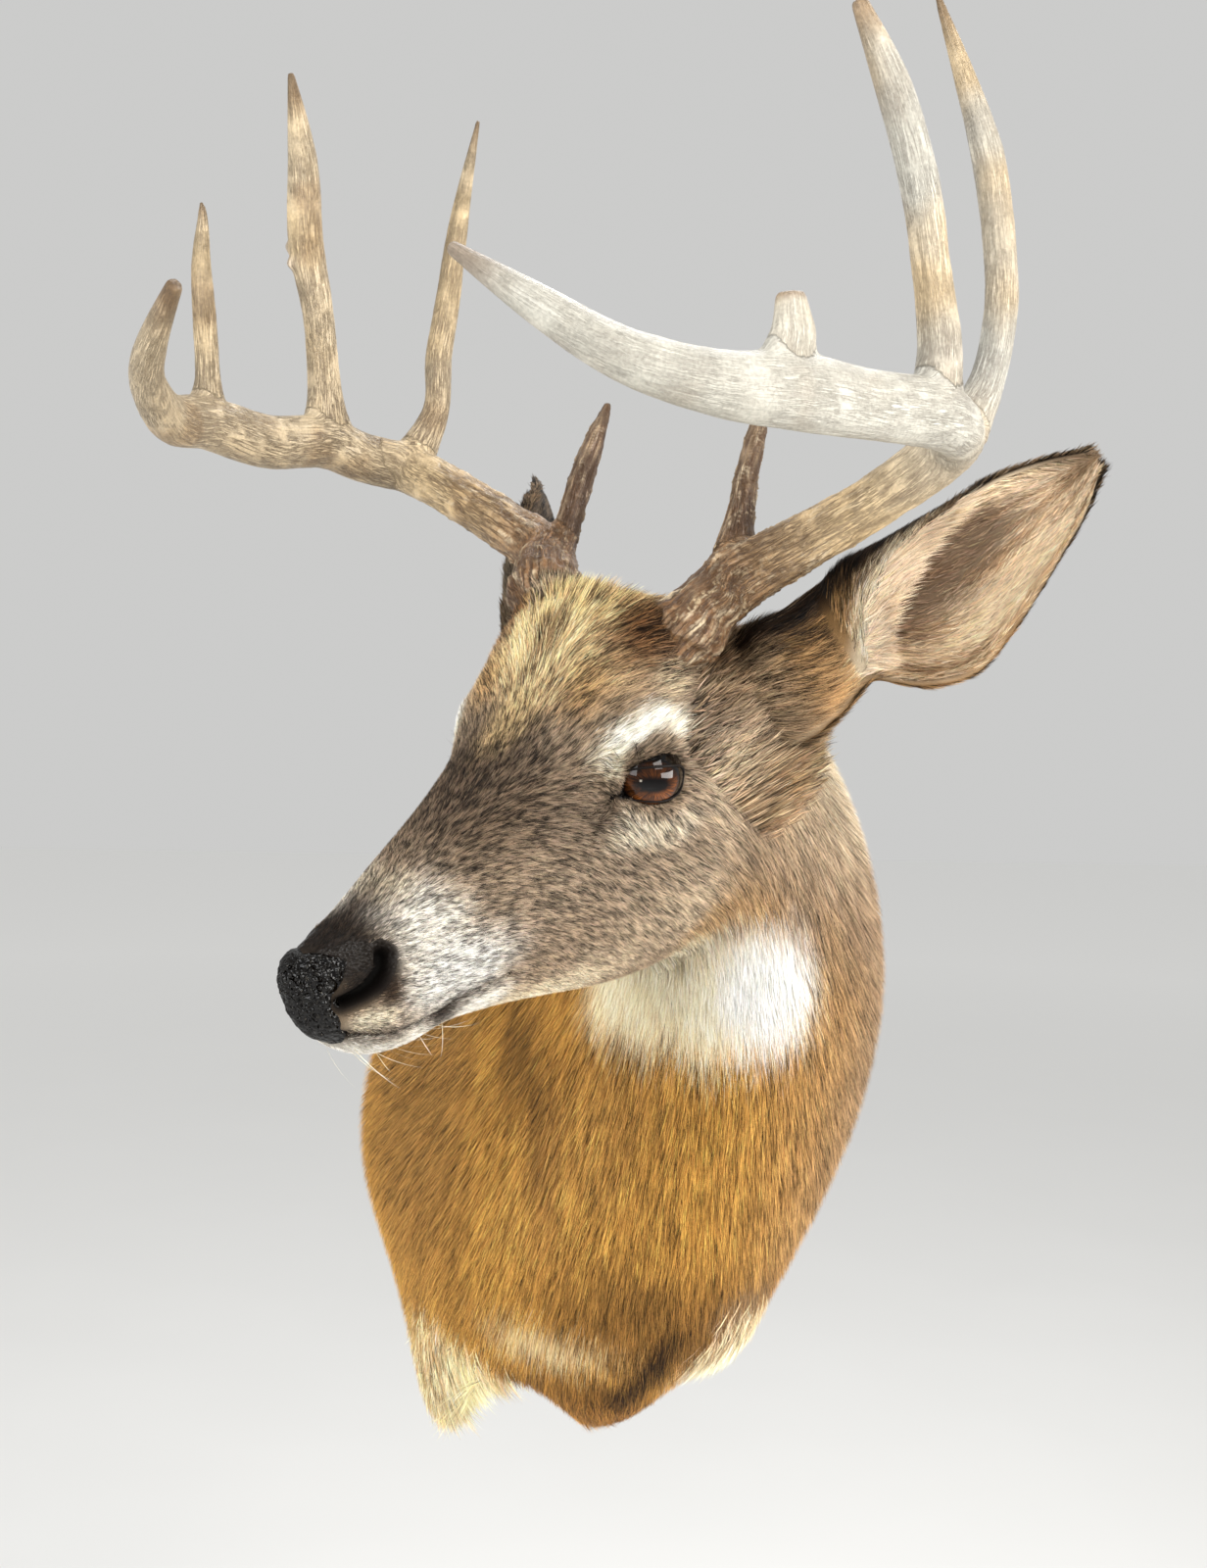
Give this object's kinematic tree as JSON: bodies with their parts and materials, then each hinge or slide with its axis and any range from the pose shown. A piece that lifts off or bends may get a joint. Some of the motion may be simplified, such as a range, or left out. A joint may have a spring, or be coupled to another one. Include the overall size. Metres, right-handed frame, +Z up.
{
  "type": "deer shoulder mount",
  "caption": "Life-size shoulder mount of a whitetail buck on a wall board, its head turned to its right, with tall branched antlers and cupped ears.",
  "frame": {"origin": "the middle of the backboard's rear face, the face that lies against the wall", "axes": "+Z up, +Y into the wall, +X to the right of a viewer facing the mount, which is the buck's left; the head faces -Y and turns towards -X"},
  "size_m": [0.4718, 0.599, 0.8221],
  "materials": {
    "coat": "short hair, matt",
    "pale_coat": "short pale hair, matt",
    "nose": "pebbled, wet looking",
    "eye": "polished dark glass",
    "antler": "polished bone, brown and pearled at the base",
    "board": "plain unfinished plywood"
  },
  "bodies": {
    "root": {"head": "coat", "lower_jaw": "pale_coat", "nose_pad": "nose", "neck": "coat", "chest": "coat", "eye_left": "eye", "eye_right": "eye", "backboard": "board", "ear_left": "coat", "ear_right": "coat", "antler_left_beam_lower": "antler", "antler_left_beam_upper": "antler", "antler_left_brow_tine": "antler", "antler_left_second_tine": "antler", "antler_left_third_tine": "antler", "antler_left_fourth_tine": "antler", "antler_right_beam_lower": "antler", "antler_right_beam_upper": "antler", "antler_right_brow_tine": "antler", "antler_right_second_tine": "antler", "antler_right_third_tine": "antler", "antler_right_fourth_tine": "antler"}
  },
  "joints": []
}
